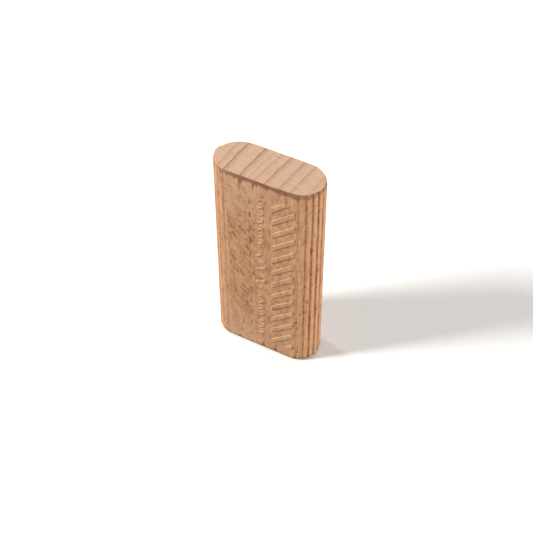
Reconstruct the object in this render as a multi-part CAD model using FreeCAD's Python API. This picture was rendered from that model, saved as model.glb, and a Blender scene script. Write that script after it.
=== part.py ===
import FreeCAD, Part
import math
import os

# A loose tenon: one piece of beech, milled with half-round fluted edges, its two wide faces
# (the cheeks) pressed with raised bars that key the glue. Half of it goes into each mortise.
# Millimetres. The origin is the centre of the lower end. Z runs along the length, X across the
# width and Y through the thickness, with the front cheek towards -Y.

# Overall sizes
length = 50.0
width = 24.0
thickness = 10.0  # over the raised pattern of both cheeks

# Rounded rim of both ends
rim_inset = 0.5  # how far the rim draws in
rim_radius = 1.2  # of its arc, which meets the flat end at an edge
rim_overshoot = 0.01  # the arc runs this far past the side, to cross the crowns of the ridges

# Flutes along the half-round edges
flute_pitch = 1.44  # from flute to flute, around the edge
flute_shift = 0.5  # round the right edge towards the back cheek, and the left towards the front
flute_width = 0.65
flute_depth = 0.28
ridge_drop = 0.06  # how far a ridge falls from its crown to the lip of a flute
flute_margin = 0.5  # least distance from a cheek to the middle of the nearest flute

# Pressed pattern of a cheek. Distances "below the top" run down from the upper end.
relief = 0.22  # how far the pattern stands above the cheek
pattern_offset = 0.5  # the pressing's centre line, to the right of the tenon's
end_margin = 3.0  # plain strip beside each end
bar_inner = 2.5  # from the pressing's centre line to the inner end of a bar
bar_to_flute = 0.41  # least gap between the outer end of a bar and the nearest flute
bar_height = 1.35  # measured along the length
bar_pitch = 3.66
bar_slope = 0.86  # how much a bar rises for each millimetre outwards
first_bar = 5.87  # middle of the highest bar's inner end, below the top

# Rippled ridges down the middle of the pressing: a fine run near each end, a bold one between
fine_bend = 0.5  # radius of one bend of the fine run
fine_stroke = 0.35
fine_start = 4.4  # below the top
fine_span = 13.0
bold_bend = 1.0
bold_stroke = 0.6
bold_start = 19.5  # below the top

# Worked out from the sizes above
edge_radius = thickness / 2 - relief
flat_half = width / 2 - edge_radius  # half the flat width of a cheek
blank_radius = edge_radius + rim_overshoot
rim_reach = math.sqrt(rim_radius**2 - (rim_radius - rim_overshoot - rim_inset) ** 2)
flute_room = math.pi * edge_radius - 2 * (flute_margin + abs(flute_shift))
flute_count = int(flute_room / flute_pitch) + 1
half_flute = flute_width / 2 / edge_radius  # as an angle
last_flute = (flute_count - 1) / 2 * flute_pitch / edge_radius  # angle from the flutes' middle
flute_turn = flute_shift / edge_radius
right_lip, left_lip = last_flute - flute_turn + half_flute, last_flute + flute_turn + half_flute
plain_right = flat_half + edge_radius * math.cos(right_lip)  # front cheek, free of flutes
plain_left = flat_half + edge_radius * math.cos(left_lip)
bar_outer = min(plain_right - pattern_offset, plain_left + pattern_offset) - bar_to_flute
bar_rise = bar_slope * (bar_outer - bar_inner)
upright = FreeCAD.Vector(0, 0, 1)


def edge_point(angle, inset):
    """Point of the right-hand edge, inset from its round; angle 0 is straight to the right."""
    reach = edge_radius - inset
    return FreeCAD.Vector(flat_half + reach * math.cos(angle), reach * math.sin(angle), 0)


def fluted_edge():
    """The outline of the right-hand edge, from the front cheek round to the back one."""
    lips = [(-math.pi / 2, 0.0)]
    for number in range(flute_count):
        centre = number * flute_pitch / edge_radius - last_flute + flute_turn
        lips += [(centre - half_flute, ridge_drop), (centre + half_flute, ridge_drop)]
    lips.append((math.pi / 2, 0.0))
    arcs = []
    for number, (start, end) in enumerate(zip(lips, lips[1:])):
        if number % 2 == 1:
            inset = flute_depth
        elif number in (0, 2 * flute_count):
            inset = ridge_drop / 4  # the strip beside a cheek leaves it smoothly
        else:
            inset = 0.0  # the crown of a ridge
        middle = edge_point((start[0] + end[0]) / 2, inset)
        arcs.append(Part.Arc(edge_point(*start), middle, edge_point(*end)).toShape())
    return Part.Wire(arcs)


def fluted_prism():
    """The milled section with its flutes, at full length."""
    right = fluted_edge()
    left = right.copy()
    left.rotate(FreeCAD.Vector(0, 0, 0), upright, 180)
    cheeks = []
    for side in (-1, 1):
        ends = [FreeCAD.Vector(x, side * edge_radius, 0) for x in (-flat_half, flat_half)]
        cheeks.append(Part.makeLine(*ends))
    outline = Part.Wire(Part.__sortEdges__(right.Edges + left.Edges + cheeks))
    return Part.Face(outline).extrude(upright * length)


def rim_arc(end_z, inward):
    """The rim in the YZ plane, from the flat end to the blank's side; inward is +1 or -1 in Z."""
    centre_y = rim_radius - blank_radius
    points = []
    for turn in (1.0, 0.5, 0.0):
        angle = turn * math.asin(rim_reach / rim_radius)
        y = centre_y - rim_radius * math.cos(angle)
        z = end_z + inward * (rim_reach - rim_radius * math.sin(angle))
        points.append(FreeCAD.Vector(0, y, z))
    return Part.Arc(*points).toShape(), points[0], points[2]


def half_profile():
    """Half of the lengthwise section, from the centre line to the front, rims included."""
    low, low_end, low_side = rim_arc(0, 1)
    high, high_end, high_side = rim_arc(length, -1)
    low_centre, high_centre = [FreeCAD.Vector(0, 0, z) for z in (0, length)]
    lines = [
        Part.makeLine(low_centre, high_centre),
        Part.makeLine(low_centre, low_end),
        Part.makeLine(low_side, high_side),
        Part.makeLine(high_centre, high_end),
    ]
    return Part.Face(Part.Wire(Part.__sortEdges__([low, high] + lines)))


def rimmed_blank():
    """The form that rounds the ends: a flat middle between two half-round edges."""
    profile = half_profile()
    front = profile.extrude(FreeCAD.Vector(2 * flat_half, 0, 0))
    front.translate(FreeCAD.Vector(-flat_half, 0, 0))
    right = profile.revolve(FreeCAD.Vector(0, 0, 0), upright, 180)
    right.translate(FreeCAD.Vector(flat_half, 0, 0))
    back, left = front.copy(), right.copy()
    for part in (back, left):
        part.rotate(FreeCAD.Vector(0, 0, 0), upright, 180)
    return front.multiFuse([right, back, left]).removeSplitter()


def pressed_face(edges):
    """A raised shape of the front cheek: its outline in the XZ plane, driven into the body."""
    face = Part.Face(Part.Wire(Part.__sortEdges__(edges)))
    solid = face.extrude(FreeCAD.Vector(0, edge_radius, 0))
    solid.translate(FreeCAD.Vector(0, -thickness / 2, 0))
    return solid


def cheek_point(x, z):
    return FreeCAD.Vector(pattern_offset + x, 0, z)


def bar(side, inner_z):
    """One slanting bar; inner_z is the middle of its inner end, side is +1 right or -1 left."""
    outer_z = inner_z + bar_rise
    half = bar_height / 2
    corners = [
        cheek_point(side * bar_inner, inner_z - half),
        cheek_point(side * bar_outer, outer_z - half),
        cheek_point(side * bar_outer, outer_z + half),
        cheek_point(side * bar_inner, inner_z + half),
    ]
    return pressed_face(Part.makePolygon(corners + corners[:1]).Edges)


def herringbone():
    """Both columns of bars, from the top margin down to the bottom one."""
    bars = []
    inner_z = length - first_bar
    while inner_z + bar_rise + bar_height / 2 > end_margin:
        bars += [bar(side, inner_z) for side in (-1, 1)]
        inner_z -= bar_pitch
    return bars


def ripple(top_z, span, bend, stroke):
    """A run of half-circle bends, left and right in turn, centred in its span."""
    count = int(span / (2 * bend))
    start_z = top_z - (span - count * 2 * bend) / 2
    edges = []
    for number in range(count):
        side = -1 if number % 2 == 0 else 1
        centre_z = start_z - (2 * number + 1) * bend
        for radius in (bend + stroke / 2, bend - stroke / 2):
            points = [(0, radius), (side * radius, 0), (0, -radius)]
            arc = Part.Arc(*[cheek_point(x, centre_z + z) for x, z in points])
            edges.append(arc.toShape())
    for end_z in (start_z, start_z - count * 2 * bend):
        ends = [cheek_point(0, end_z + side * stroke / 2) for side in (-1, 1)]
        edges.append(Part.makeLine(*ends))
    return [pressed_face(edges)] if count else []


def ripples():
    bold_span = length - 2 * bold_start
    runs = ripple(length - fine_start, fine_span, fine_bend, fine_stroke)
    runs += ripple(fine_start + fine_span, fine_span, fine_bend, fine_stroke)
    runs += ripple(length - bold_start, bold_span, bold_bend, bold_stroke)
    return runs


def pressing():
    """The raised pattern of the front cheek, its crown following the round of the edges."""
    envelope = Part.makeBox(2 * flat_half, thickness, length - 2 * end_margin)
    envelope.translate(FreeCAD.Vector(-flat_half, -thickness / 2, end_margin))
    for side in (-1, 1):
        foot = FreeCAD.Vector(side * flat_half, 0, end_margin)
        envelope = envelope.fuse(Part.makeCylinder(thickness / 2, length - 2 * end_margin, foot))
    envelope = envelope.removeSplitter()
    return [solid.common(envelope) for solid in herringbone() + ripples()]


def loose_tenon():
    body = rimmed_blank().common(fluted_prism())
    front = pressing()
    back = [solid.copy() for solid in front]
    for solid in back:
        solid.rotate(FreeCAD.Vector(0, 0, 0), upright, 180)
    return body.multiFuse(front + back).removeSplitter()


os.makedirs("parts", exist_ok=True)
tenon = loose_tenon()
tenon.exportStep("parts/loose_tenon.step")
print("solids", len(tenon.Solids), "valid", tenon.isValid(), "volume", round(tenon.Volume, 2))
print("box", tenon.BoundBox)
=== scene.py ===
import bpy
import math
from mathutils import Matrix, Vector


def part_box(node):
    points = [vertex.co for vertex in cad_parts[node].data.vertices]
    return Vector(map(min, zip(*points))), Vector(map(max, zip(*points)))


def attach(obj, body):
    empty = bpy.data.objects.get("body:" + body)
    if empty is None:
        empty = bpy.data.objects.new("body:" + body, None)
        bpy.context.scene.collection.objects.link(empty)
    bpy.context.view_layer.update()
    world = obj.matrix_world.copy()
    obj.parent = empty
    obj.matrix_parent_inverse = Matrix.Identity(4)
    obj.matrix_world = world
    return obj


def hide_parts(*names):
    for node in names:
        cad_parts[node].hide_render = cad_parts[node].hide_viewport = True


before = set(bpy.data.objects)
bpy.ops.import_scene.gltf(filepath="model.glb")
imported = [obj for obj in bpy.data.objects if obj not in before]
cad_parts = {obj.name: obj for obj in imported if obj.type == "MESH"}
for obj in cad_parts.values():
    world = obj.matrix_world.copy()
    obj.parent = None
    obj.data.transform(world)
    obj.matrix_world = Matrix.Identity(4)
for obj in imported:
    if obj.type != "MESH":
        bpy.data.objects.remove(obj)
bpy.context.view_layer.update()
mm = 0.001

low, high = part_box("loose_tenon")
tenonLength = (high.z - low.z) / mm
tenonWidth = math.ceil((high.x - low.x) / mm)    # before the flutes are milled
tenonThickness = (high.y - low.y) / mm


# a wire is one output of a node, and sums on wires add Math nodes
class Wire:
    def __init__(self, graph, output):
        self.graph = graph
        self.output = output

    def of(self, name):  # another output of the same node
        return Wire(self.graph, self.output.node.outputs[name])

    def math(self, operation, *values):
        return self.graph.add("ShaderNodeMath", {"operation": operation}, *values)

    def __add__(self, other):
        return self.math("ADD", self, other)

    def __radd__(self, other):
        return self.math("ADD", other, self)

    def __sub__(self, other):
        return self.math("SUBTRACT", self, other)

    def __rsub__(self, other):
        return self.math("SUBTRACT", other, self)

    def __mul__(self, other):
        return self.math("MULTIPLY", self, other)

    def __rmul__(self, other):
        return self.math("MULTIPLY", other, self)

    def __truediv__(self, other):
        return self.math("DIVIDE", self, other)

    def __rtruediv__(self, other):
        return self.math("DIVIDE", other, self)

    def __neg__(self):
        return self.math("MULTIPLY", self, -1.0)

    def __pow__(self, other):
        return self.math("POWER", self, other)

    def __abs__(self):
        return self.math("ABSOLUTE", self)

    def call(self, operation, *others):  # SINE, FLOOR, MINIMUM ... of this wire
        return self.math(operation, self, *others)

    def step(self, start, end):  # 0 below start, 1 above end, smooth between
        settings = {"interpolation_type": "SMOOTHSTEP", "clamp": True}
        return self.graph.add("ShaderNodeMapRange", settings, self, start, end, 0.0, 1.0)

    def line(self, full, none):  # 1 around zero, falling from full to none either way
        return 1.0 - abs(self).step(full, none)

    def band(self, start, full, fading, end):  # 1 from full to fading, 0 outside start and end
        return self.step(start, full) - self.step(fading, end)


class Graph:
    def __init__(self, nodeTree):
        self.tree = nodeTree

    def add(self, kind, settings=None, *values, **named):
        node = self.tree.nodes.new(kind)
        for key, value in (settings or {}).items():
            if key == "stops":
                self.fillRamp(node.color_ramp, value)
            else:
                setattr(node, key, value)
        live = [socket for socket in node.inputs if socket.enabled]
        pairs = list(zip(live, values))
        for key, value in named.items():
            label = key.replace("_", " ")
            pairs.append((next(s for s in live if s.name == label), value))
        for socket, value in pairs:
            if isinstance(value, Wire):
                self.tree.links.new(value.output, socket)
            elif isinstance(value, list):  # a socket that takes many links
                for item in reversed(value):
                    self.tree.links.new(item.output, socket)
            elif value is not None:
                socket.default_value = value
        shown = [socket for socket in node.outputs if socket.enabled]
        return Wire(self, shown[0]) if shown else node

    def fillRamp(self, ramp, stops):  # stops are (place, grey)
        while len(ramp.elements) < len(stops):
            ramp.elements.new(1.0)
        for element, (place, shade) in zip(ramp.elements, sorted(stops)):
            element.position = place
            element.color = (shade, shade, shade, 1.0)

    def mix(self, first, second, share):  # colours, or links to colours
        return self.add("ShaderNodeMix", {"data_type": "RGBA"}, share, first, second)

    def split(self, vector):
        node = self.add("ShaderNodeSeparateXYZ", None, vector)
        return node, node.of("Y"), node.of("Z")

    def join(self, x, y, z):
        return self.add("ShaderNodeCombineXYZ", None, x, y, z)


# the form of the tenon, in millimetres
form = {
    "Length": tenonLength,
    "Width": tenonWidth,
    "Thickness": tenonThickness,
    "Relief": 0.22,          # the pattern above the cheek
    "Rim Inset": 0.5,
    "Rim Radius": 1.2,
    "Front Rim": 0.5,        # share of the rim along the front of the top
    "Back Rim": 0.12,        # and along its back and left
    "Worn Corner": 1.1,      # added at its back left corner
    "Rim Blend": 0.05,       # how softly the rim meets the milled faces
    "Flute Pitch": 1.44,
    "Flute Shift": 0.5,      # towards the back cheek on the right edge
    "Flute Depth": 0.26,
    "Flute Half Width": 0.24,
    "Left Share": 0.3,       # how much shallower the left edge's flutes are
    "Ridge Drop": 0.05,      # from the crown of a ridge to the lip of a flute
    "Flute Span": 6.48,      # from the middle of the flutes to the last one, along the curve
    "Wander": 0.08,          # how far a flute strays sideways
    "Fuzz": 0.018,           # unevenness of the milled faces
    "Fuzz Repeats": 1.3,
    "Other Edge": 37.0,      # moves the unevenness on, so that the two edges differ
    "Pattern Offset": 0.5,
    "End Margin": 3.0,
    "Bar Inner": 2.5,
    "Bar Outer": 7.5,
    "Bar Height": 1.35,
    "Bar Pitch": 3.66,
    "Bar Slope": 0.86,
    "First Bar": 5.87,
    "Bevel": 0.12,           # width of a bar's rounded outline
    "Bevel Drop": 0.4,       # how much of its height a bar loses there
    "Cut Height": 0.3,       # share of its height that is left where the end margin cuts it
    "Draft": 0.05,           # how far the foot of a raised shape spreads
    "Sink": 0.3,             # how deep its foot is let into the wood
    "Fine Bend": 0.5,
    "Fine Stroke": 0.35,
    "Fine Start": 4.4,
    "Fine Span": 13.0,
    "Bold Bend": 1.0,
    "Bold Stroke": 0.6,
    "Bold Start": 19.5,
    "Weld": 0.001,           # corners closer than this become one
    "Seed": 7.0,
}
mesh = {
    "edgeColumns": 140,      # round one half-round edge
    "cheekColumns": 56,      # across one cheek
    "sideRows": 90,          # from mid-length to a rim
    "rimRows": 5,
    "capRows": 9,
    "barCorners": (14, 9, 2),
    "rippleSteps": 8,        # along one bend
    "rippleSides": 10,
    "sharpAngle": 32.0,      # degrees, from which an edge shows
}


def emptied(owner):
    # the node tree of a material or a world, with nothing in it
    owner.use_nodes = True
    owner.node_tree.nodes.clear()
    return Graph(owner.node_tree)


def geometryGraph(name, sizes):
    tree = bpy.data.node_groups.new(name, "GeometryNodeTree")
    graph = Graph(tree)
    sockets = {}
    for label, value in sizes.items():
        item = tree.interface.new_socket(label, in_out="INPUT", socket_type="NodeSocketFloat")
        item.default_value = value
        sockets[label] = item.identifier
    tree.interface.new_socket("Geometry", in_out="OUTPUT", socket_type="NodeSocketGeometry")
    entry = tree.nodes.new("NodeGroupInput")
    wires = {label: Wire(graph, entry.outputs[label]) for label in sizes}
    return graph, wires, sockets


flute = {
    "wander": (0.8, 0.13),          # repeats in a millimetre round the edge, and along it
    "unevenness": (0.9, 0.22),
    "unevenSeed": 4.0,
    "leastDepth": 0.72,             # share of the depth, before the unevenness adds to it
    "unevenShare": 0.5,
    "towardsCheek": (2.8, 6.0),     # from the edge's middle, where the flutes grow shallower
    "shallower": 0.55,
    "pastLast": (0.3, 0.75),        # beyond the last flute, where the fluting runs out
}


def fluteInset(arc, z, left, size):
    # depth of the fluted edge below its round, at a place along the curve; left is 0 or 1
    graph = arc.graph
    z = z + left * size["Other Edge"]
    timesArc, timesZ = flute["wander"]
    streak = graph.add("ShaderNodeTexNoise", {"noise_dimensions": "3D"}, Scale=1.0, Detail=2.0,
                       Vector=graph.join(arc * timesArc, size["Seed"], z * timesZ))
    strayed = arc - size["Flute Shift"] + (streak - 0.5) * 2.0 * size["Wander"]
    fromFlute = abs((strayed / size["Flute Pitch"]).call("FRACT") - 0.5) * size["Flute Pitch"]
    groove = (-1.0 * (fromFlute / size["Flute Half Width"]) ** 2.0).call("EXPONENT")
    slump = (1.0 - fromFlute / (size["Flute Pitch"] * 0.5)) ** 2.0
    fluted = 1.0 - (abs(strayed) - size["Flute Span"]).step(*flute["pastLast"])
    timesArc, timesZ = flute["unevenness"]
    uneven = graph.add("ShaderNodeTexNoise", {"noise_dimensions": "3D"}, Scale=1.0, Detail=3.0,
                       Vector=graph.join(arc * timesArc, size["Seed"] + flute["unevenSeed"], z * timesZ))
    shallow = abs(strayed).step(*flute["towardsCheek"]) * flute["shallower"]
    share = flute["leastDepth"] + uneven * flute["unevenShare"] - shallow
    depth = size["Flute Depth"] * share * (1.0 - left * size["Left Share"])
    return (groove * depth + slump * size["Ridge Drop"]) * fluted


# where the upper rim is worn: none at the first place, all at the second, across and through
rimWear = {
    "back": (-0.3, 0.4),
    "backLean": (0.19, -0.03),
    "leftCorner": ((5.2, 10.2), (0.2, 2.2)),
    "rightCorner": ((6.0, 10.0), (0.4, 2.4)),
    "frontCorner": ((2.5, 8.0), (0.5, 2.5)),
    "rightShare": 0.35,
    "frontShare": 0.45,
}


def rimCorner(x, y, corner):
    across, through = rimWear[corner]
    return x.step(*across) * y.step(*through)


def rimEase(x, y, upper, size):
    # share of the full rim at a place round the section: the top is crisp at its back and
    # worn round at its corners
    timesY, timesX = rimWear["backLean"]
    back = (y * timesY + x * timesX).step(*rimWear["back"])
    leftCorner = rimCorner(-x, y, "leftCorner")
    rightCorner = rimCorner(x, y, "rightCorner")
    frontCorner = rimCorner(x, -y, "frontCorner")
    worn = leftCorner + rightCorner * rimWear["rightShare"] + frontCorner * rimWear["frontShare"]
    share = size["Front Rim"] + (size["Back Rim"] - size["Front Rim"]) * back + size["Worn Corner"] * worn
    return 1.0 - upper * (1.0 - share)


def bodyMesh(graph, size):
    halfRows = mesh["sideRows"] + mesh["rimRows"] + mesh["capRows"]
    halfColumns = mesh["edgeColumns"] + mesh["cheekColumns"]
    edgeShare = mesh["edgeColumns"] / halfColumns
    grid = graph.add("GeometryNodeMeshGrid", None, 1.0, 1.0, 2 * halfColumns + 1, 2 * halfRows + 1)
    across, along, _ = graph.split(graph.add("GeometryNodeInputPosition"))
    radius = size["Thickness"] * 0.5 - size["Relief"]
    halfFlat = size["Width"] * 0.5 - radius

    # round the section: half of it is an edge and then a cheek, the other half the same turned
    turn = (across + 0.5) * 2.0
    half = turn.call("FLOOR").call("MODULO", 2.0)
    share = turn.call("FRACT")
    angle = ((share / edgeShare).call("MINIMUM", 1.0) - 0.5) * math.pi
    run = ((share - edgeShare) / (1.0 - edgeShare)).call("MAXIMUM", 0.0)
    centre = halfFlat * (1.0 - 2.0 * run)

    # along the length: side, rim and flat end, the same both ways from mid-length
    reach = abs(along) * 2.0 * halfRows
    side = (reach / mesh["sideRows"]).call("MINIMUM", 1.0)
    rim = ((reach - mesh["sideRows"]) / mesh["rimRows"]).call("MAXIMUM", 0.0).call("MINIMUM", 1.0)
    cap = ((reach - mesh["sideRows"] - mesh["rimRows"]) / mesh["capRows"]).call("MAXIMUM", 0.0)
    rimAngle = (1.0 - size["Rim Inset"] / size["Rim Radius"]).call("ARCCOSINE")
    rimHeight = size["Rim Radius"] * rimAngle.call("SINE")
    rimTurn = rimAngle * rim
    height = (size["Length"] * 0.5 - rimHeight) * side + size["Rim Radius"] * rimTurn.call("SINE")
    z = size["Length"] * 0.5 + height * along.call("SIGN")
    rimInset = size["Rim Radius"] * (1.0 - rimTurn.call("COSINE"))

    arc = angle * radius
    flutes = fluteInset(arc, z, half, size)
    place = graph.join(centre * 0.9 + half * size["Other Edge"], arc * 0.9, z * 0.5)
    fuzz = graph.add("ShaderNodeTexNoise", {"noise_dimensions": "4D"}, Vector=place, W=size["Seed"],
                     Scale=size["Fuzz Repeats"], Detail=4.0, Roughness=0.6)
    milled = flutes + fuzz * size["Fuzz"]
    flip = 1.0 - 2.0 * half
    sideX = (centre + radius * angle.call("COSINE")) * flip
    sideY = radius * angle.call("SINE") * flip
    ease = rimEase(sideX, sideY, along.call("GREATER_THAN", 0.0), size)
    inset = milled.call("SMOOTH_MAX", rimInset * ease, size["Rim Blend"])
    rimEnd = size["Rim Inset"] * ease
    capInset = rimEnd + (radius - rimEnd) * cap
    onCap = cap.call("GREATER_THAN", 0.0)
    distance = radius - inset * (1.0 - onCap) - capInset * onCap
    x = (centre + distance * angle.call("COSINE")) * flip
    y = distance * angle.call("SINE") * flip
    shaped = graph.add("GeometryNodeSetPosition", None, Geometry=grid, Position=graph.join(x, y, z))
    return graph.add("GeometryNodeMergeByDistance", None, Geometry=shaped, Distance=size["Weld"])


def barColumn(graph, size):
    # the slanting bars right of the pressing's centre line, flat: X across, Y along, Z raised
    length = size["Bar Outer"] - size["Bar Inner"]
    block = graph.add("GeometryNodeMeshCube", None, graph.join(2.0, 2.0, 2.0), *mesh["barCorners"])
    across, along, up = graph.split(graph.add("GeometryNodeInputPosition"))
    across = across * (1.5 - across * across * 0.5)    # closer together towards the outline
    along = along * (1.5 - along * along * 0.5)
    toEnd = (1.0 - abs(across)) * length * 0.5
    toSide = (1.0 - abs(along)) * size["Bar Height"] * 0.5
    fall = (1.0 - toEnd.call("MINIMUM", toSide) / size["Bevel"]).call("MAXIMUM", 0.0)
    foot = 1.0 - up.call("GREATER_THAN", 0.0)
    crown = size["Relief"] * (1.0 - fall * fall * size["Bevel Drop"])
    raised = crown - foot * (size["Relief"] + size["Sink"])
    spread = foot * size["Draft"]
    x = across * (length * 0.5 + spread) + (size["Bar Inner"] + size["Bar Outer"]) * 0.5
    y = along * (size["Bar Height"] * 0.5 + spread) + (x - size["Bar Inner"]) * size["Bar Slope"]
    bar = graph.add("GeometryNodeSetPosition", None, Geometry=block, Position=graph.join(x, y, raised))
    first = size["Length"] - size["First Bar"]
    reach = first - size["End Margin"] + length * size["Bar Slope"] + size["Bar Height"] * 0.5
    count = (reach / size["Bar Pitch"]).call("CEIL")
    places = graph.add("GeometryNodeMeshLine", {"mode": "OFFSET"}, Count=count,
                       Start_Location=graph.join(0.0, first, 0.0),
                       Offset=graph.join(0.0, -size["Bar Pitch"], 0.0))
    bars = graph.add("GeometryNodeInstanceOnPoints", None, Points=places, Instance=bar)
    return graph.add("GeometryNodeRealizeInstances", None, bars)


def ripple(graph, top, span, bend, stroke, size):
    # a run of half-circle bends, centred in its span, with a rounded ridge swept along it
    perBend = mesh["rippleSteps"]
    count = (span / (bend * 2.0)).call("FLOOR")
    line = graph.add("GeometryNodeMeshLine", {"mode": "OFFSET"}, Count=count * perBend + 1)
    step = graph.add("GeometryNodeInputIndex") / perBend
    bendNumber = (step.call("MINIMUM", count - 0.001)).call("FLOOR")    # the last point ends a bend
    angle = (step - bendNumber) * math.pi
    side = bendNumber.call("MODULO", 2.0) * 2.0 - 1.0
    start = top - (span - count * bend * 2.0) * 0.5
    x = side * bend * angle.call("SINE")
    y = start - (bendNumber * 2.0 + 1.0) * bend + bend * angle.call("COSINE")
    placed = graph.add("GeometryNodeSetPosition", None, Geometry=line, Position=graph.join(x, y, 0.0))
    path = graph.add("GeometryNodeMeshToCurve", None, placed)
    level = graph.add("GeometryNodeSetCurveNormal", {"mode": "Z_UP"}, path)
    ring = graph.add("GeometryNodeCurvePrimitiveCircle", None, mesh["rippleSides"], Radius=1.0)
    profile = graph.add("GeometryNodeTransform", None, Geometry=ring,
                        Scale=graph.join(stroke * 0.5 + size["Draft"], size["Relief"], 1.0))
    return graph.add("GeometryNodeCurveToMesh", None, Curve=level, Profile_Curve=profile, Fill_Caps=True)


def pressing(graph, size):
    # the whole pattern of one cheek, still flat, then laid on the front cheek
    column = barColumn(graph, size)
    mirrored = graph.add("GeometryNodeTransform", None, Geometry=column, Scale=(-1.0, 1.0, 1.0))
    columns = graph.add("GeometryNodeJoinGeometry", None,
                        [column, graph.add("GeometryNodeFlipFaces", None, mirrored)])
    band = graph.add("GeometryNodeMeshCube", None,
                     graph.join(size["Width"], size["Length"] - 2.0 * size["End Margin"], 4.0))
    placedBand = graph.add("GeometryNodeTransform", None, Geometry=band,
                           Translation=graph.join(0.0, size["Length"] * 0.5, 0.0))
    trimmed = graph.add("GeometryNodeMeshBoolean", {"operation": "INTERSECT", "solver": "MANIFOLD"},
                        [columns, placedBand])
    fine = (size["Fine Span"], size["Fine Bend"], size["Fine Stroke"], size)
    boldSpan = size["Length"] - 2.0 * size["Bold Start"]
    runs = [
        ripple(graph, size["Length"] - size["Fine Start"], *fine),
        ripple(graph, size["Fine Start"] + size["Fine Span"], *fine),
        ripple(graph, size["Length"] - size["Bold Start"], boldSpan, size["Bold Bend"],
               size["Bold Stroke"], size),
    ]
    flat = graph.add("GeometryNodeJoinGeometry", None, [trimmed] + runs)
    across, along, up = graph.split(graph.add("GeometryNodeInputPosition"))
    toCut = (size["Length"] * 0.5 - size["End Margin"]) - abs(along - size["Length"] * 0.5)
    whole = toCut.step(-0.3, 0.9)
    up = up.call("MINIMUM", up * (size["Cut Height"] + whole * (1.0 - size["Cut Height"])))
    x = across + size["Pattern Offset"]
    radius = size["Thickness"] * 0.5 - size["Relief"] + up
    halfFlat = size["Width"] * 0.5 - size["Thickness"] * 0.5 + size["Relief"]
    past = (abs(x) - halfFlat).call("MAXIMUM", 0.0)
    y = -1.0 * (radius * radius - past * past).call("SQRT")
    return graph.add("GeometryNodeSetPosition", None, Geometry=flat, Position=graph.join(x, y, along))


def makeTenon(finish):
    graph, size, sockets = geometryGraph("tenonForm", form)
    front = pressing(graph, size)
    back = graph.add("GeometryNodeTransform", None, Geometry=front, Rotation=(0.0, 0.0, math.pi))
    pressed = graph.add("GeometryNodeMeshBoolean", {"operation": "UNION", "solver": "MANIFOLD"},
                        [bodyMesh(graph, size), front, back])
    welded = graph.add("GeometryNodeMergeByDistance", None, Geometry=pressed, Distance=size["Weld"])
    soft = graph.add("GeometryNodeSetShadeSmooth", {"domain": "FACE"}, Geometry=welded, Shade_Smooth=True)
    gentle = graph.add("GeometryNodeInputMeshEdgeAngle").call("LESS_THAN", math.radians(mesh["sharpAngle"]))
    soft = graph.add("GeometryNodeSetShadeSmooth", {"domain": "EDGE"}, Geometry=soft, Shade_Smooth=gentle)
    scaled = graph.add("GeometryNodeTransform", None, Geometry=soft, Scale=(mm, mm, mm))
    real = graph.add("GeometryNodeRealizeInstances", None, scaled)
    done = graph.add("GeometryNodeSetMaterial", None, real, Material=finish)
    outlet = graph.tree.nodes.new("NodeGroupOutput")
    graph.tree.links.new(done.output, outlet.inputs[0])
    return graph.tree, sockets


def grown(name, tree, sockets, sizes):
    # a Geometry Nodes tree turned into a plain mesh object
    host = bpy.data.objects.new(name, bpy.data.meshes.new(name + "Seed"))
    bpy.context.scene.collection.objects.link(host)
    modifier = host.modifiers.new("form", "NODES")
    modifier.node_group = tree
    for label, value in sizes.items():
        modifier[sockets[label]] = value
    bpy.context.view_layer.update()
    evaluated = host.evaluated_get(bpy.context.evaluated_depsgraph_get())
    plain = bpy.data.meshes.new_from_object(evaluated)
    host.modifiers.remove(modifier)
    host.data = plain
    plain.name = name
    return host


def tone(red, green, blue):
    # a colour as it looks on screen, 0 to 255, as shader light
    shades = [value / 255.0 for value in (red, green, blue)]
    light = [s / 12.92 if s <= 0.04045 else ((s + 0.055) / 1.055) ** 2.4 for s in shades]
    return (*light, 1.0)


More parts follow.
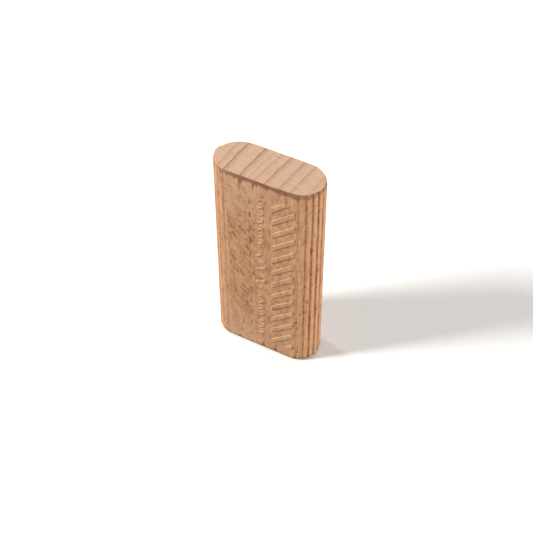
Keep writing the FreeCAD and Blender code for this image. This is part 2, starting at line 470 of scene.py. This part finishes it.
# steamed beech, whose pattern runs through the whole solid, in millimetres
wood = {
    # late wood closes a ring: place at mid-thickness, lean, strength, half width, pink after it
    "rings": [
        (-9.15, 0.04, 0.3, 0.22, 0.35), (-7.45, 0.055, 0.8, 0.2, 0.9), (-3.73, 0.075, 1.0, 0.15, 0.9),
        (-1.78, 0.13, 0.35, 0.12, 0.2), (-0.32, 0.155, 0.6, 0.13, 0.4), (1.82, 0.137, 0.8, 0.14, 0.9),
        (4.8, 0.13, 0.65, 0.12, 0.8), (7.2, 0.117, 0.6, 0.12, 0.6), (10.4, 0.1, 0.3, 0.12, 0.4),
    ],
    "ringSpan": 26.0,        # width that the rings, rays and tongues are spread over
    "mostLean": 0.2,
    "pinkWidth": 1.3,
    "rays": [(-2.9, 0.5), (-1.22, 1.0), (0.4, 0.35), (2.45, 0.8), (3.6, 0.4)],  # along the thickness
    "rayTilt": 0.163,
    "rayHalf": 0.104,        # half width of a ray's dark line
    "glowMiddle": 0.156,     # of the pale line beside it
    "glowEnd": 0.338,
    # tongues of the burnt rim: place along the width, length, half width
    "tongues": [
        (-9.6, 2.0, 0.35), (-8.5, 2.2, 0.45), (-7.1, 1.6, 0.55), (-5.2, 1.4, 0.7), (-4.0, 3.2, 0.6),
        (-1.1, 3.0, 0.45), (1.9, 1.6, 0.6), (4.9, 1.9, 0.7), (8.6, 1.9, 0.45), (10.4, 1.4, 0.5),
    ],
    "longestTongue": 4.0,
    "endPale": tone(218, 181, 154),
    "endPink": tone(192, 142, 117),
    "endLate": tone(138, 86, 62),
    "endPore": tone(160, 114, 88),
    "endRay": tone(240, 212, 184),
    "facePale": tone(218, 172, 135),
    "faceDeep": tone(158, 108, 74),
    # a paler tint that paints light on the cheeks towards their ends
    "faceLitTint": tone(226, 190, 163),
    "fleck": tone(112, 68, 42),
    "burnt": tone(104, 62, 38),
    # painted highlight and painted shadow for the pressing's edges
    "paintedHighlight": tone(234, 202, 174),
    "paintedShadow": tone(120, 78, 52),
    "groove": tone(134, 68, 42),
    "russet": tone(158, 92, 62),
    "crest": tone(247, 191, 146),
    "roughness": 0.62,
    "fibreRoughness": 0.2,
    "burntSmoothness": 0.12,
    "gloss": 0.14,
    "dentDepth": 0.05,
    "fibreHeight": 0.5,      # shares of that depth
    "poreHeight": 0.3,
}
# each noise: how often it repeats in a millimetre three ways, detail, roughness and seed
grain = {
    "ringWander": (0.22, 0.4, 0.03, 2.0, 0.5, 0.0),
    "ringShiver": (1.3, 1.7, 0.05, 2.0, 0.5, 3.0),
    "pores": (5.5, 5.5, 0.6, 2.0, 0.75, 7.0),
    "rayDrift": (0.25, 0.6, 0.2, 2.0, 0.5, 4.0),
    "rayBreaks": (0.45, 1.5, 1.0, 2.0, 0.5, 4.5),
    "rayStrands": (0.16, 5.0, 0.4, 1.0, 0.5, 4.8),
    "latePatches": (0.8, 0.8, 0.1, 2.0, 0.5, 4.2),
    "rag": (1.6, 1.6, 0.3, 4.0, 0.6, 8.0),
    "tongueSway": (0.7, 0.7, 0.55, 2.0, 0.5, 8.5),
    "clouds": (0.5, 0.5, 0.2, 3.0, 0.6, 6.0),
    "fibres": (4.0, 4.0, 0.4, 3.0, 0.65, 5.0),
    "grit": (3.2, 3.2, 2.2, 2.0, 0.7, 5.5),
    "patches": (1.0, 0.9, 0.55, 3.0, 0.6, 9.0),
    "smudges": (2.0, 0.5, 0.8, 2.0, 0.6, 9.5),
    "crossed": (1.1, 0.35, 0.8, 2.0, 0.6, 9.7),
    "streaks": (1.2, 1.0, 0.22, 3.0, 0.6, 10.0),
    "threads": (3.4, 1.0, 0.16, 2.0, 0.6, 11.0),
    "fleckSway": (0.9, 0.9, 0.5, 1.0, 0.5, 0.0),
}


def grainNoise(name, x, y, z, seed=0.0):
    timesX, timesY, timesZ, detail, roughness, ownSeed = grain[name]
    graph = x.graph
    return graph.add("ShaderNodeTexNoise", {"noise_dimensions": "4D"},
                     Vector=graph.join(x * timesX, y * timesY, z * timesZ),
                     W=form["Seed"] + ownSeed + seed, Scale=1.0, Detail=detail, Roughness=roughness)


# the sawn ends: how strongly each mark shows
endGrain = {
    "wander": 0.7,             # millimetres that a ring strays, and shivers
    "shiver": 0.28,
    "fadeOut": 1.4,            # of late wood on its far side, in half widths
    "rayDrift": 0.9,
    "rayBreaks": (0.35, 0.6),
    "poreContrast": 3.1,
    "fineRays": 20.0,          # how narrow the hair-fine rays are
    "pinkShare": 0.85,
    "cloudShare": 0.9,
    "speckleShare": 0.2,
    "poreShare": 0.75,
    "palePores": 0.5,
    "fineShare": 0.25,
    "glowShare": 0.6,
    "rayShare": 0.75,
    "lateShare": 0.5,
    "latePatches": 0.7,
    "facing": (0.84, 0.95),    # how squarely a surface faces along the length
}


def ringRamps(graph, x, y, z):
    # late wood and the pink wood after it, both 0 to 1
    span = wood["ringSpan"]
    lean, late, pink = [], [(0.0, 0.0)], [(0.0, 0.0)]
    for middle, tilt, strength, half, blush in wood["rings"]:
        at = middle / span + 0.5
        edge = half / span
        lean.append((at, tilt / wood["mostLean"]))
        late += [(at - edge, 0.0), (at, strength), (at + edge * endGrain["fadeOut"], 0.0)]
        pink += [(at - edge * 0.5, 0.0), (at + edge * 0.5, blush), (at + wood["pinkWidth"] / span, 0.0)]
    wander = (grainNoise("ringWander", x, y, z) - 0.5) * endGrain["wander"]
    shiver = (grainNoise("ringShiver", x, y, z) - 0.5) * endGrain["shiver"]
    share = x / span + 0.5
    tilt = graph.add("ShaderNodeValToRGB", {"stops": lean}, share) * wood["mostLean"]
    radial = share + (wander + shiver - y * tilt) / span
    return [graph.add("ShaderNodeValToRGB", {"stops": stops}, radial) for stops in (late, pink)]


def rayRamps(graph, x, y, z):
    # the rays' dark lines and the pale lines beside them, broken here and there
    span = wood["ringSpan"]
    half = wood["rayHalf"] / span
    glowMiddle = wood["glowMiddle"] / span
    glowEnd = wood["glowEnd"] / span
    line, glow = [(0.0, 0.0)], [(0.0, 0.0)]
    for middle, strength in wood["rays"]:
        at = middle / span + 0.5
        line += [(at - half, 0.0), (at, strength), (at + half, 0.0)]
        glow += [(at, 0.0), (at + glowMiddle, strength), (at + glowEnd, 0.0)]
    drift = (grainNoise("rayDrift", x, y, z) - 0.5) * endGrain["rayDrift"]
    tangent = (y + x * wood["rayTilt"] + drift) / span + 0.5
    broken = grainNoise("rayBreaks", x, y, z).step(*endGrain["rayBreaks"])
    return [graph.add("ShaderNodeValToRGB", {"stops": stops}, tangent) * broken for stops in (line, glow)]


def endGrainColour(graph, x, y, z, clouds):
    late, pink = ringRamps(graph, x, y, z)
    dark, light = rayRamps(graph, x, y, z)
    pores = grainNoise("pores", x, y, z)
    speckle = (pores - 0.5) * endGrain["poreContrast"]
    strands = grainNoise("rayStrands", x, y + x * wood["rayTilt"], z)
    fine = (1.0 - abs(strands - 0.5) * endGrain["fineRays"]).call("MAXIMUM", 0.0)
    blush = pink * endGrain["pinkShare"] + (clouds - 0.5) * endGrain["cloudShare"]
    blush = blush + speckle * endGrain["speckleShare"]
    pale = (-speckle).call("MAXIMUM", 0.0) * endGrain["palePores"] + fine * endGrain["fineShare"]
    pale = pale + light * endGrain["glowShare"]
    dotted = speckle.call("MAXIMUM", 0.0) * endGrain["poreShare"]
    colour = graph.mix(wood["endPale"], wood["endPink"], blush)
    colour = graph.mix(colour, wood["endPore"], dotted)
    colour = graph.mix(colour, wood["endRay"], pale)
    colour = graph.mix(colour, wood["endPore"], dark * endGrain["rayShare"])
    patchy = grainNoise("latePatches", x, y, z) * endGrain["latePatches"] + endGrain["lateShare"]
    return graph.mix(colour, wood["endLate"], late * patchy), pores, late


rim = {
    "band": (0.45, 1.2),           # from the end, where the scorched band fades
    "bandShare": 0.72,
    "ragged": 0.9,
    "tongueFade": (0.5, 1.05),     # as shares of a tongue's length
    "tongueShare": 0.7,
    "sway": 1.1,
    "leastReach": 0.05,
    "frontLean": (0.12, -0.19),
    "front": (-0.6, 0.4),
    "backShare": 0.2,              # how much of it shows along the back
    "corner": (7.5, 11.5),
    "cornerLoss": 0.4,
}


def burntRim(graph, x, y, z, front):
    # scorched by the saw that rounded the rim: a band, with soft tongues down the grain
    span = wood["ringSpan"]
    longest = wood["longestTongue"]
    stops = [(0.0, 0.0)]
    for middle, length, half in wood["tongues"]:
        at = middle / span + 0.5
        stops += [(at - half / span, 0.0), (at, (length / longest) ** 2), (at + half / span, 0.0)]
    fromEnd = tenonLength * 0.5 - abs(z - tenonLength * 0.5)
    upper = (z - tenonLength * 0.5).call("SIGN")
    rag = grainNoise("rag", x, y, z) - 0.5
    sway = (grainNoise("tongueSway", x, y, z) - 0.5) * rim["sway"]
    share = (x * front * upper + sway) / span + 0.5
    tongue = graph.add("ShaderNodeValToRGB", {"stops": stops}, share).call("SQRT") * longest
    reach = tongue * (1.0 + rag) + rim["leastReach"]
    tongues = (1.0 - (fromEnd / reach).step(*rim["tongueFade"])) * rim["tongueShare"]
    band = (1.0 - (fromEnd - rag * rim["ragged"]).step(*rim["band"])) * rim["bandShare"]
    timesX, timesY = rim["frontLean"]
    towardsFront = (x * timesX + y * timesY).step(*rim["front"])
    towardsFront = towardsFront * (1.0 - rim["backShare"]) + rim["backShare"]
    towardsMiddle = 1.0 - abs(x).step(*rim["corner"]) * rim["cornerLoss"]
    return band.call("MAXIMUM", tongues) * towardsFront * towardsMiddle


def edgeArc(x, y):
    # millimetres round a half-round edge from its middle, 1 on the left, and 0 to 1 from cheek to edge
    radius = form["Thickness"] * 0.5 - form["Relief"]
    right = x.call("GREATER_THAN", 0.0)
    flip = right * 2.0 - 1.0
    reach = x * flip - (form["Width"] * 0.5 - radius)
    arc = (y * flip).call("ARCTAN2", reach.call("MAXIMUM", 0.01)) * radius
    return arc, 1.0 - right, reach.step(-0.4, 0.3)


def crownDrop(x, y):
    # how far a place lies below the crown of the raised shapes
    halfFlat = (form["Width"] - form["Thickness"]) * 0.5 + form["Relief"]
    past = (abs(x) - halfFlat).call("MAXIMUM", 0.0)
    return form["Thickness"] * 0.5 - (past * past + y * y).call("SQRT")


# painted highlights and painted shadows along the pressing's edges, in millimetres
pressingLightPaint = {
    "line": (0.03, 0.13),    # from a bar's outline: painted highlight to the first, plain from the second
    "lineInset": 0.01,
    "highlightDrop": (0.08, 0.17),               # below the crown, where the painted highlight stops
    "shadowUnder": (-0.34, -0.1, -0.1, 0.04),   # painted shadow, from a bar's lower side
    "shadowPastRight": (-0.4, -0.12, -0.12, 0.04),  # painted shadow, from its right end
    "shadowUnderShare": 0.55,
    "leftColumn": 0.2,       # strength of the left bars' outlines
    "flankDrop": (0.02, 0.08, 0.16, 0.2),     # below the crown, on a ripple's flank
    "rippleReach": (1.5, 1.7),
    "highlightShare": 0.6,
    "shadowShare": 0.6,
    "flankShare": 0.45,
}


def barHighlightsAndShadows(out, z, drop):
    # the bars' edges: painted highlight above and at their left ends, painted shadow below and at their right
    # ends, as a light from the upper left would fall
    right = out.call("GREATER_THAN", 0.0)
    left = 1.0 - right
    fromCentre = abs(out)
    rise = z - (form["Length"] - form["First Bar"]) - (fromCentre - form["Bar Inner"]) * form["Bar Slope"]
    across = ((rise / form["Bar Pitch"] + 0.5).call("FRACT") - 0.5) * form["Bar Pitch"]
    half = form["Bar Height"] * 0.5
    toInner = form["Bar Inner"] - fromCentre
    toOuter = fromCentre - form["Bar Outer"]
    toLeft = toInner * right + toOuter * left    # past the left end, negative within
    toRight = toOuter * right + toInner * left
    level = 1.0 - (abs(across) - half).step(-0.05, 0.05)
    between = 1.0 - toInner.call("MAXIMUM", toOuter).step(-0.05, 0.1)
    pastMargin = abs(z - form["Length"] * 0.5) - form["Length"] * 0.5 + form["End Margin"]
    strength = (1.0 - pastMargin.step(-0.2, 0.1)) * (pressingLightPaint["leftColumn"] + right * (1.0 - pressingLightPaint["leftColumn"]))
    top = (across - half + pressingLightPaint["lineInset"]).line(*pressingLightPaint["line"])
    leftEnd = (toLeft + pressingLightPaint["lineInset"]).line(*pressingLightPaint["line"])
    below = (across + half).band(*pressingLightPaint["shadowUnder"]) * pressingLightPaint["shadowUnderShare"]
    rightEnd = (-toRight).band(*pressingLightPaint["shadowPastRight"])
    onCrown = 1.0 - drop.step(*pressingLightPaint["highlightDrop"])
    # painted highlight on the lit edges, painted shadow on the shaded ones
    pale = (top * between).call("MAXIMUM", leftEnd * level) * onCrown * strength
    dark = (below * between).call("MAXIMUM", rightEnd * level) * strength
    return pale, dark


# paints the light and shade of the raised pattern into the cheek's colour
def paintedPressingLight(graph, colour, x, y, z, front):
    drop = crownDrop(x, y)
    out = x * front - form["Pattern Offset"]
    paintedHighlight, paintedShadow = barHighlightsAndShadows(out, z, drop)
    colour = graph.mix(colour, wood["paintedHighlight"], paintedHighlight * pressingLightPaint["highlightShare"])
    colour = graph.mix(colour, wood["paintedShadow"], paintedShadow * pressingLightPaint["shadowShare"])
    flank = drop.band(*pressingLightPaint["flankDrop"]) * out.line(*pressingLightPaint["rippleReach"])    # the ripples' flanks, painted pale as highlight
    return graph.mix(colour, wood["paintedHighlight"], flank * pressingLightPaint["flankShare"])


# the cheeks: where each mark starts and is full, and how much it darkens or tints
face = {
    "clouds": (0.35, 0.7),
    "patches": (0.42, 0.72),
    "smudges": (0.52, 0.66),
    "crossed": (0.54, 0.74),
    "cloudShare": 0.26,
    "patchShare": 0.42,
    "fibreShare": 1.1,
    "gritShare": 0.9,
    "smudgeShare": 0.14,
    "leftSmudges": 0.62,       # added on the left half
    "edgeSmudges": 0.6,        # lost on the edges
    "crossedShare": 0.5,       # on the right half
    "leftHalf": (-0.5, 2.5),
    "ends": (10.0, 21.0),      # from mid-length, where a paler tint paints light on the cheeks
    "litTintShare": 0.1,
    "leftLitTint": 0.3,
    "lateShare": 0.12,
    "russet": (6.5, 8.0),      # from the middle to the right
    "russetShare": 0.4,
}


def longGrain(graph, x, y, z, front, onEdge, late, clouds):
    # fibres, broad patches and slanting smudges
    out = x * front
    fromLeft = (-out).step(*face["leftHalf"])
    fibres = grainNoise("fibres", x, y, z)
    grit = grainNoise("grit", x, y, z)
    patches = grainNoise("patches", x * 0.9 + y * 0.4, y, z).step(*face["patches"])
    smudges = grainNoise("smudges", out + z, out - z, y).step(*face["smudges"])
    crossed = grainNoise("crossed", out - z, out + z, y).step(*face["crossed"])
    shade = clouds.step(*face["clouds"]) * face["cloudShare"] + patches * face["patchShare"]
    shade = shade + (fibres - 0.5) * face["fibreShare"] + (grit - 0.5) * face["gritShare"]
    smudging = face["smudgeShare"] + fromLeft * face["leftSmudges"]
    shade = shade + smudges * smudging * (1.0 - onEdge * face["edgeSmudges"])
    shade = shade + crossed * (1.0 - fromLeft) * face["crossedShare"]
    # painted light: the cheeks paler towards both ends, most on the left half
    towardsEnd = abs(z - form["Length"] * 0.5).step(*face["ends"])
    litTint = towardsEnd * (face["litTintShare"] + fromLeft * face["leftLitTint"]) * (1.0 - onEdge)
    ruddy = crossed * out.step(*face["russet"]) * face["russetShare"]
    colour = graph.mix(wood["facePale"], wood["faceDeep"], shade)
    colour = graph.mix(colour, wood["faceLitTint"], litTint)
    colour = graph.mix(colour, wood["endLate"], late * face["lateShare"])
    colour = graph.mix(colour, wood["russet"], ruddy)
    return colour, fibres, crossed


# the fluted edges, by share of a flute's depth and millimetres round the edge
edge = {
    "crown": (0.02, 0.35),
    "bottom": (0.3, 0.95),
    "streaks": (0.25, 0.75),
    "fromMiddle": (2.5, 6.5),
    "towardsCheekLoss": 0.6,
    "fibreShare": 0.9,
    "crownStart": 0.3,         # how strong a streak is before the crown shows it
    "crossedLoss": 0.3,
    "bottomShare": 0.9,
    "leftLoss": 0.2,
    "frontHalf": (-1.5, 2.0),
    "frontCrownLoss": 0.3,     # on the left edge's front half, where the crests and flute bottoms are weakened
    "frontBottomLoss": 0.56,
    "threadShare": 1.2,
    "threads": (0.02, 0.2),
    "russetShare": 0.35,
}


def flutedEdges(graph, colour, arc, z, left, onEdge, fibres, crossed):
    # pale along the crown of a ridge, dark along the bottom of a flute in uneven streaks
    other = left * form["Other Edge"]
    depth = fluteInset(arc, z, left, form) / form["Flute Depth"]
    streaks = grainNoise("streaks", arc, other, z)
    threads = grainNoise("threads", arc, other, z) - 0.5
    middle = onEdge * (1.0 - abs(arc).step(*edge["fromMiddle"]) * edge["towardsCheekLoss"])
    faded = left * arc.step(*edge["frontHalf"])
    leftLoss = left * edge["leftLoss"]
    patchy = streaks + fibres * edge["fibreShare"] - edge["crownStart"] - crossed * edge["crossedLoss"]
    crown = (1.0 - depth.step(*edge["crown"])) * middle * patchy
    crown = crown * (1.0 - leftLoss - faded * edge["frontCrownLoss"])
    bottom = depth.step(*edge["bottom"]) * middle * streaks.step(*edge["streaks"])
    bottom = bottom * (edge["bottomShare"] - leftLoss - faded * edge["frontBottomLoss"])
    darkThreads = (-threads).step(*edge["threads"]) * onEdge * edge["russetShare"]
    colour = graph.mix(colour, wood["crest"], crown + threads * onEdge * edge["threadShare"])
    colour = graph.mix(colour, wood["groove"], bottom)
    return graph.mix(colour, wood["russet"], darkThreads)


# spindle-shaped flecks along the grain, from pores to large ones: breadth and height, share kept,
# seed, strength, what the edges add to it, share lost on the left edge, and depth of the dent
fleckSizes = [
    (0.17, 0.7, 0.6, 4.0, 0.3, 0.0, 0.0, 0.2),
    (0.32, 0.9, 0.5, 3.0, 0.42, 0.0, 0.45, 0.2),
    (0.55, 1.7, 0.45, 2.0, 0.55, 0.1, 0.45, 0.3),
    (0.9, 3.2, 0.4, 1.0, 0.6, 0.0, 0.45, 0.4),
]


fleckShape = {
    "least": 0.2,              # size of the smallest, as a share of their spacing
    "more": 0.28,              # and how much larger the largest are
    "softness": (0.4, 1.0),
    "scatter": 0.85,
}


def flecks(graph, x, y, z, breadth, height, kept, seed):
    sway = (grainNoise("fleckSway", x, y, z, seed) - 0.5) * breadth * 2.0
    place = graph.join((x + sway) / breadth, (y + sway) / breadth, z / height)
    cells = graph.add("ShaderNodeTexVoronoi", {"voronoi_dimensions": "4D", "feature": "F1"},
                      Vector=place, W=seed, Scale=1.0, Randomness=fleckShape["scatter"])
    chance, size, _ = graph.split(cells.of("Color"))
    reach = fleckShape["least"] + size * fleckShape["more"]
    blob = 1.0 - (cells / reach).step(*fleckShape["softness"])
    return blob * (chance - (1.0 - kept)).step(0.0, 0.1)


def beech():
    material = bpy.data.materials.new("steamedBeech")
    graph = emptied(material)
    place = graph.add("ShaderNodeTexCoord").of("Object")
    x, y, z = graph.split(graph.add("ShaderNodeVectorMath", {"operation": "SCALE"}, place, Scale=1.0 / mm))
    _, _, facing = graph.split(graph.add("ShaderNodeNewGeometry").of("Normal"))
    front = -y.call("SIGN")
    arc, left, onEdge = edgeArc(x, y)
    clouds = grainNoise("clouds", x, y, z)
    endColour, pores, late = endGrainColour(graph, x, y, z, clouds)
    faceColour, fibres, crossed = longGrain(graph, x, y, z, front, onEdge, late, clouds)
    faceColour = paintedPressingLight(graph, faceColour, x, y, z, front)
    faceColour = flutedEdges(graph, faceColour, arc, z, left, onEdge, fibres, crossed)
    height = fibres * wood["fibreHeight"] + pores * wood["poreHeight"]
    for breadth, tall, kept, seed, strength, edgeGain, leftLoss, dent in fleckSizes:
        blobs = flecks(graph, x, y, z, breadth, tall, kept, seed)
        share = (strength + onEdge * edgeGain) * (1.0 - left * onEdge * leftLoss)
        faceColour = graph.mix(faceColour, wood["fleck"], blobs * share)
        height = height - blobs * dent
    burnt = burntRim(graph, x, y, z, front)
    faceColour = graph.mix(faceColour, wood["burnt"], burnt)
    colour = graph.mix(faceColour, endColour, abs(facing).step(*endGrain["facing"]))
    dents = graph.add("ShaderNodeBump", None, Strength=1.0, Distance=wood["dentDepth"] * mm, Height=height)
    roughness = wood["roughness"] + (fibres - 0.5) * wood["fibreRoughness"] - burnt * wood["burntSmoothness"]
    shader = graph.add("ShaderNodeBsdfPrincipled", None, Base_Color=colour, Roughness=roughness,
                       Specular_IOR_Level=wood["gloss"], Normal=dents)
    graph.add("ShaderNodeOutputMaterial", None, shader)
    return material


finish = beech()
print("finish", finish.name, len(finish.node_tree.nodes), "nodes")
tree, sockets = makeTenon(finish)
tenon = grown("tenonBody", tree, sockets, form)
print("tenon", len(tenon.data.vertices), "vertices", len(tenon.data.polygons), "faces")
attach(tenon, "root")
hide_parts("loose_tenon")


# the camera, distances in millimetres and angles in degrees
view = {
    "azimuth": 28.63,        # the camera stands this far to the right of the front
    "elevation": 47.51,
    "roll": -0.4,
    "distance": 250.15,
    "aim": (-0.8, 0.0, 21.29),
    "lens": 79.79,
    "sensorWidth": 36.0,
    "nearest": 10.0,         # nothing closer than this is seen
}


def setCamera():
    camera = bpy.data.cameras.new("camera")
    camera.lens = view["lens"]
    camera.sensor_width = view["sensorWidth"]
    camera.clip_start = view["nearest"] * mm
    holder = bpy.data.objects.new("camera", camera)
    bpy.context.scene.collection.objects.link(holder)
    side = math.radians(view["azimuth"])
    rise = math.radians(view["elevation"])
    back = Vector((math.sin(side) * math.cos(rise), -math.cos(side) * math.cos(rise), math.sin(rise)))
    right = Vector((0, 0, 1)).cross(back).normalized()
    up = back.cross(right)
    turn = Matrix((right, up, back)).transposed().to_4x4()
    place = Matrix.Translation((Vector(view["aim"]) + back * view["distance"]) * mm)
    holder.matrix_world = place @ turn @ Matrix.Rotation(math.radians(view["roll"]), 4, "Z")
    bpy.context.scene.camera = holder


# the studio, in metres
studio = {
    "floorSize": 6.0,
    "floorFade": (0.14, 0.4),    # from the tenon, where the floor turns plain white
    "floorSeen": (1.2, 1.2, 1.2, 1.0),
    "floorBounce": (0.5, 0.44, 0.37, 1.0),
    "white": (1.0, 1.0, 1.0, 1.0),
    "ambientStrength": 0.19,
}
lamps = {
    "keyLight": {"from": (-0.83, 0.22, 0.52), "distance": 0.7, "size": 0.14, "strength": 0.2,
                 "colour": (1.0, 0.97, 0.92)},
    "rakingLight": {"from": (-0.64, -0.47, 0.6), "distance": 0.8, "size": 0.16, "strength": 0.86,
                    "colour": (1.0, 0.98, 0.95)},
    "backFill": {"from": (-0.1, 0.93, 0.35), "distance": 0.9, "size": 0.4, "strength": 0.25,
                 "colour": (1.0, 0.98, 0.95)},
    "rightFill": {"from": (0.95, -0.12, 0.26), "distance": 0.9, "size": 0.3, "strength": 0.55,
                  "colour": (1.0, 0.97, 0.93)},
}


def backgroundRays(graph):
    # 1 where the camera, a reflection or glass looks at the background, 0 for its light
    rays = graph.add("ShaderNodeLightPath")
    seen = rays.of("Is Camera Ray").call("MAXIMUM", rays.of("Is Glossy Ray"))
    return seen.call("MAXIMUM", rays.of("Is Transmission Ray"))


def makeFloor():
    half = studio["floorSize"] / 2
    corners = [(-half, -half, 0), (half, -half, 0), (half, half, 0), (-half, half, 0)]
    plane = bpy.data.meshes.new("floor")
    plane.from_pydata(corners, [], [(0, 1, 2, 3)])
    floor = bpy.data.objects.new("floor", plane)
    bpy.context.scene.collection.objects.link(floor)
    material = bpy.data.materials.new("paleFloor")
    graph = emptied(material)
    bounce = graph.add("ShaderNodeBsdfDiffuse", None, Color=studio["floorBounce"])
    near = graph.add("ShaderNodeBsdfDiffuse", None, Color=studio["floorSeen"])
    far = graph.add("ShaderNodeEmission", None, Color=studio["white"], Strength=1.0)
    place = graph.add("ShaderNodeTexCoord").of("Object")
    away = graph.add("ShaderNodeVectorMath", {"operation": "LENGTH"}, place).of("Value")
    seen = graph.add("ShaderNodeMixShader", None, away.step(*studio["floorFade"]), near, far)
    surface = graph.add("ShaderNodeMixShader", None, backgroundRays(graph), bounce, seen)
    graph.add("ShaderNodeOutputMaterial", None, surface)
    plane.materials.append(material)


def setWorld():
    world = bpy.data.worlds.new("studio")
    bpy.context.scene.world = world
    graph = emptied(world)
    light = graph.add("ShaderNodeBackground", None, Color=studio["white"], Strength=studio["ambientStrength"])
    white = graph.add("ShaderNodeBackground", None, Color=studio["white"], Strength=1.0)
    surface = graph.add("ShaderNodeMixShader", None, backgroundRays(graph), light, white)
    graph.add("ShaderNodeOutputWorld", None, surface)


def areaLight(name, lamp):
    # strength 1 lights a surface that faces the lamp so that its colour renders as written
    data = bpy.data.lights.new(name, "AREA")
    data.shape = "DISK"
    data.size = lamp["size"]
    data.color = lamp["colour"]
    data.energy = lamp["strength"] * (math.pi * lamp["distance"]) ** 2
    holder = bpy.data.objects.new(name, data)
    bpy.context.scene.collection.objects.link(holder)
    towards = Vector(lamp["from"]).normalized()
    middle = Vector((0, 0, tenonLength / 2 * mm))
    place = Matrix.Translation(middle + towards * lamp["distance"])
    holder.matrix_world = place @ towards.to_track_quat("Z", "Y").to_matrix().to_4x4()


setCamera()
print("camera", view["azimuth"], view["elevation"])
makeFloor()
setWorld()
for lampName, lamp in lamps.items():
    areaLight(lampName, lamp)
print("studio", len(lamps), "lamps")
bpy.context.scene.view_settings.view_transform = "Standard"
